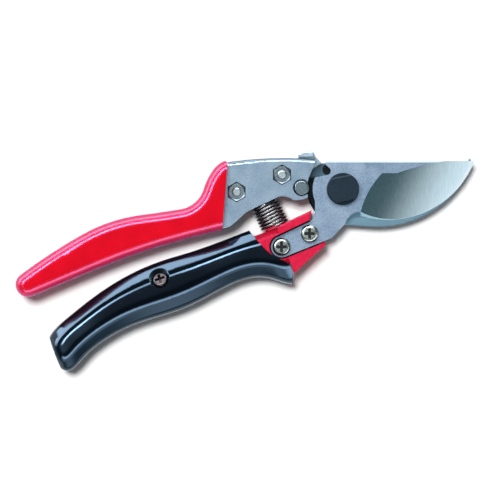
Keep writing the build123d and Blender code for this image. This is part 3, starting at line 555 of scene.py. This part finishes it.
blade_links.new(wheel_marks.outputs["Fac"], ground_tone.inputs["Fac"])
tint_over(blade_finish, ground_here.outputs["Value"], ground_tone.outputs["Color"])
ground_gloss = blade_nodes.new("ShaderNodeMapRange")
ground_gloss.inputs["To Min"].default_value = 0.11
ground_gloss.inputs["To Max"].default_value = 0.17
blade_links.new(wheel_marks.outputs["Fac"], ground_gloss.inputs["Value"])
blade_gloss = blade_nodes.new("ShaderNodeMix")
blade_gloss.data_type = "FLOAT"
blade_roughness = blade_surface.inputs["Roughness"]
on_blasted, on_ground = blade_gloss.inputs[2], blade_gloss.inputs[3]
blade_links.new(ground_here.outputs["Value"], blade_gloss.inputs["Factor"])
blade_links.new(blade_roughness.links[0].from_socket, on_blasted)
blade_links.new(ground_gloss.outputs["Result"], on_ground)
blade_links.new(blade_gloss.outputs[0], blade_roughness)
blade_relief = blade_surface.inputs["Normal"].links[0].from_node
relief_level = blade_nodes.new("ShaderNodeMapRange")
relief_level.inputs["To Min"].default_value = 0.35
relief_level.inputs["To Max"].default_value = 0.03
blade_links.new(ground_here.outputs["Value"], relief_level.inputs["Value"])
blade_links.new(relief_level.outputs["Result"], blade_relief.inputs["Strength"])
dress("cutting_blade", blade_finish)

bush_finish = ground_metal(
    "turned_bronze",
    dark=(0.45, 0.27, 0.10), pale=(0.62, 0.42, 0.18), rough=0.35, turn=0, stretch=0.3,
)
dress("pivot_bush", bush_finish)

# Pivot: a steel bolt, blackened to a satin finish, whose round head has two flats. It is held by a
# plated washer and nut behind the counter blade.
pivot_finish = blasted_metal(
    "blackened_steel",
    dark=(0.004, 0.012, 0.022), pale=(0.014, 0.030, 0.048), rough=0.38, grain=900,
)
pivot_surface = pivot_finish.node_tree.nodes["Principled BSDF"]
pivot_surface.inputs["Metallic"].default_value = 0.2
pivot_surface.inputs["Specular IOR Level"].default_value = 0.15
dress("pivot_bolt", pivot_finish)
dress("pivot_washer", nut_finish)
dress("pivot_nut", nut_finish)


# Lower frame: a forged fork, coated red, that holds the blade's tang between its arms and carries
# the grip's spindle behind. The coat is smooth with a faint orange peel, and the slot round the
# tang is darkened with painted shade.
def left_of(way):
    """Give the level direction that lies square to another, on its left."""
    return Vector((-way.y, way.x, 0))


fork_coat = bpy.data.materials.new("red_coat")
fork_coat.use_nodes = True
fork_nodes = fork_coat.node_tree.nodes
fork_links = fork_coat.node_tree.links
fork_surface = fork_nodes["Principled BSDF"]
fork_surface.inputs["Specular IOR Level"].default_value = 0.22
fork_surface.inputs["Specular Tint"].default_value = (1.0, 0.55, 1.0, 1)
fork_place = fork_nodes.new("ShaderNodeTexCoord")
fork_peel = fork_nodes.new("ShaderNodeTexNoise")
fork_peel.inputs["Scale"].default_value = 700
fork_peel.inputs["Detail"].default_value = 2.0
fork_links.new(fork_place.outputs["Object"], fork_peel.inputs["Vector"])
fork_tone = fork_nodes.new("ShaderNodeValToRGB")
fork_tone.color_ramp.elements[0].position = 0.3
fork_tone.color_ramp.elements[0].color = (0.62, 0.005, 0.036, 1)
fork_tone.color_ramp.elements[1].position = 0.7
fork_tone.color_ramp.elements[1].color = (0.74, 0.009, 0.050, 1)
fork_links.new(fork_peel.outputs["Fac"], fork_tone.inputs["Fac"])
fork_links.new(fork_tone.outputs["Color"], fork_surface.inputs["Base Color"])
fork_gloss = fork_nodes.new("ShaderNodeMapRange")
fork_gloss.inputs["To Min"].default_value = 0.34
fork_gloss.inputs["To Max"].default_value = 0.46
fork_links.new(fork_peel.outputs["Fac"], fork_gloss.inputs["Value"])
fork_links.new(fork_gloss.outputs["Result"], fork_surface.inputs["Roughness"])
fork_relief = fork_nodes.new("ShaderNodeBump")
fork_relief.inputs["Strength"].default_value = 0.10
fork_relief.inputs["Distance"].default_value = 0.0001
fork_links.new(fork_peel.outputs["Fac"], fork_relief.inputs["Height"])
fork_links.new(fork_relief.outputs["Normal"], fork_surface.inputs["Normal"])
along_tang = heading(25.3)
across_tang = left_of(along_tang)
slot_start = Vector((-0.0267, -0.0251, frame_front))
slot_radius = 0.0065
slot_depth = 0.0015
screw_spacing = 0.0135
# Painted shade: the slot round the tang is tinted dark below the fork's front.
for share in (0, 0.5, 1):
    slot_spot = slot_start + along_tang * share * screw_spacing
    paint_recess_shade(fork_coat, slot_spot, straight_up, slot_radius, slot_depth)
dress("lower_frame", fork_coat)

# Blade screws: two pan-head screws of steel, zinc plated, with cross recesses pressed into their
# heads. They hold the blade's tang down in the fork.
head_top = 0.01585
cross_radius = 0.0024
cross_depth = 0.0012
rear_screw = Vector((slot_start.x, slot_start.y, head_top))
front_screw = rear_screw + along_tang * screw_spacing
screw_finish = ground_metal(
    "zinc_plated_steel",
    dark=(0.19, 0.21, 0.20), pale=(0.36, 0.38, 0.35), rough=0.28, turn=40, stretch=0.4,
)
# Painted shade: the cross recesses are tinted dark below the head's top.
for screw_spot in (rear_screw, front_screw):
    paint_recess_shade(screw_finish, screw_spot, straight_up, cross_radius, cross_depth, shade_tone=0.04)
dress("blade_screws", screw_finish)

# Revolving grip: a hard black moulding, rounded over its back and belly and polished so that its
# rounded sides mirror the room. It turns on a steel spindle in two bronze bushes and is kept by a
# recessed screw.
grip_moulding = bpy.data.materials.new("polished_black_plastic")
grip_moulding.use_nodes = True
grip_nodes = grip_moulding.node_tree.nodes
grip_links = grip_moulding.node_tree.links
grip_surface = grip_nodes["Principled BSDF"]
grip_surface.inputs["Specular Tint"].default_value = (0.45, 0.70, 1.0, 1)
grip_surface.inputs["Sheen Weight"].default_value = 0.8
grip_surface.inputs["Sheen Roughness"].default_value = 0.3
grip_surface.inputs["Sheen Tint"].default_value = (0.45, 0.75, 1.0, 1)
grip_place = grip_nodes.new("ShaderNodeTexCoord")
grip_flow = grip_nodes.new("ShaderNodeTexNoise")
grip_flow.inputs["Scale"].default_value = 60
grip_flow.inputs["Detail"].default_value = 4.0
grip_links.new(grip_place.outputs["Object"], grip_flow.inputs["Vector"])
grip_tone = grip_nodes.new("ShaderNodeValToRGB")
grip_tone.color_ramp.elements[0].color = (0.001, 0.002, 0.004, 1)
grip_tone.color_ramp.elements[1].color = (0.003, 0.005, 0.009, 1)
grip_links.new(grip_flow.outputs["Fac"], grip_tone.inputs["Fac"])
grip_links.new(grip_tone.outputs["Color"], grip_surface.inputs["Base Color"])
grip_gloss = grip_nodes.new("ShaderNodeMapRange")
grip_gloss.inputs["To Min"].default_value = 0.05
grip_gloss.inputs["To Max"].default_value = 0.10
grip_links.new(grip_flow.outputs["Fac"], grip_gloss.inputs["Value"])
grip_links.new(grip_gloss.outputs["Result"], grip_surface.inputs["Roughness"])
grip_half_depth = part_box("revolving_grip")[1][2] - middle_plane
grip_polish = by_depth(
    grip_moulding, grip_half_depth, start=0.00035, end=0.00115, on_face=0.18, on_side=0.68
)
grip_links.new(grip_polish, grip_surface.inputs["Specular IOR Level"])
dress("revolving_grip", grip_moulding)

spindle_start = Vector((slot_start.x, slot_start.y, middle_plane))
towards_front = heading(20.3)
screw_lean = math.radians(55)
screw_out = left_of(towards_front) * math.cos(screw_lean) + Vector((0, 0, math.sin(screw_lean)))
screw_back = 0.0544
screw_height = 0.0094
screw_face = spindle_start - towards_front * screw_back + screw_out * screw_height
grip_cross_radius = 0.0022
grip_cross_depth = 0.0010
# Painted shade: the grip screw's steel is coloured near black for the shade deep in its recess, and
# its cross recess is tinted darker still.
grip_screw_shaded_finish = ground_metal(
    "screw_steel_painted_dark",
    dark=(0.035, 0.028, 0.030), pale=(0.090, 0.072, 0.076), rough=0.34, turn=40, stretch=0.4,
)
paint_recess_shade(grip_screw_shaded_finish, screw_face, screw_out, grip_cross_radius, grip_cross_depth)
dress("grip_screw", grip_screw_shaded_finish)
dress("grip_spindle", bolt_finish)
dress("spindle_pin", bolt_finish)
dress("front_bush", bush_finish)
dress("rear_bush", bush_finish)

# Lock: a thumb lever with a raised tab, blasted like the frame. It turns on a riveted steel pin
# whose round head shows in the frame, with a thin friction washer under it.
lever_finish = blasted_metal(
    "blasted_lever_metal", dark=(0.22, 0.31, 0.38), pale=(0.45, 0.54, 0.60), rough=0.34
)
dress("lock_lever", lever_finish)
pin_finish = ground_metal(
    "pin_steel",
    dark=(0.09, 0.12, 0.14), pale=(0.18, 0.22, 0.24), rough=0.32, turn=50, stretch=0.3,
)
dress("lock_pin", pin_finish)
dress("lock_washer", bolt_finish)

# Return spring: seven turns of round steel wire between the two handles, seated round a peg at each
# end. It is wound upright round Z from a small circle, then laid along the line of its seats.
wire = 0.0010
coil_outside = 0.0127
coil = coil_outside - wire
turns = 7
steps_in_turn = 40
sides_of_wire = 14
seat_gap = 0.0113
seat_along = 0.0014
seat_across = 0.0088
end_room = 0.00005
weld = 0.00001
crease_angle = math.radians(40)
seat_low = spindle_start + along_tang * seat_along + across_tang * seat_across
first_turn = wire / 2 + end_room
coil_rise = seat_gap - 2 * first_turn
bpy.ops.object.select_all(action="DESELECT")
bpy.ops.mesh.primitive_circle_add(
    vertices=sides_of_wire,
    radius=wire / 2,
    location=(coil / 2, 0, first_turn),
    rotation=(math.radians(90), 0, 0),
)
spring = bpy.context.object
spring.name = "coil_spring"
bpy.ops.object.transform_apply(location=True, rotation=True, scale=True)
winding = spring.modifiers.new("winding", "SCREW")
winding.axis = "Z"
winding.angle = 2 * math.pi
winding.screw_offset = coil_rise / turns
winding.iterations = turns
winding.steps = steps_in_turn
winding.render_steps = steps_in_turn
winding.use_merge_vertices = True
winding.merge_threshold = weld
bpy.ops.object.modifier_apply(modifier="winding")
bpy.ops.object.mode_set(mode="EDIT")
bpy.ops.mesh.select_all(action="SELECT")
bpy.ops.mesh.remove_doubles(threshold=weld)
bpy.ops.mesh.select_all(action="DESELECT")
bpy.ops.mesh.select_mode(type="EDGE")
bpy.ops.mesh.select_non_manifold()
bpy.ops.mesh.edge_face_add()
bpy.ops.mesh.select_all(action="SELECT")
bpy.ops.mesh.normals_make_consistent(inside=False)
bpy.ops.object.mode_set(mode="OBJECT")
bpy.ops.object.shade_smooth_by_angle(angle=crease_angle)
spring.rotation_mode = "QUATERNION"
spring.rotation_quaternion = across_tang.to_track_quat("Z", "X")
spring.location = seat_low
bpy.ops.object.transform_apply(location=True, rotation=True, scale=True)
spring_finish = ground_metal(
    "spring_wire",
    dark=(0.08, 0.075, 0.080), pale=(0.26, 0.24, 0.24), rough=0.24, turn=0, stretch=0.5,
)
spring.data.materials.append(spring_finish)
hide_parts("return_spring")
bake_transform(spring)
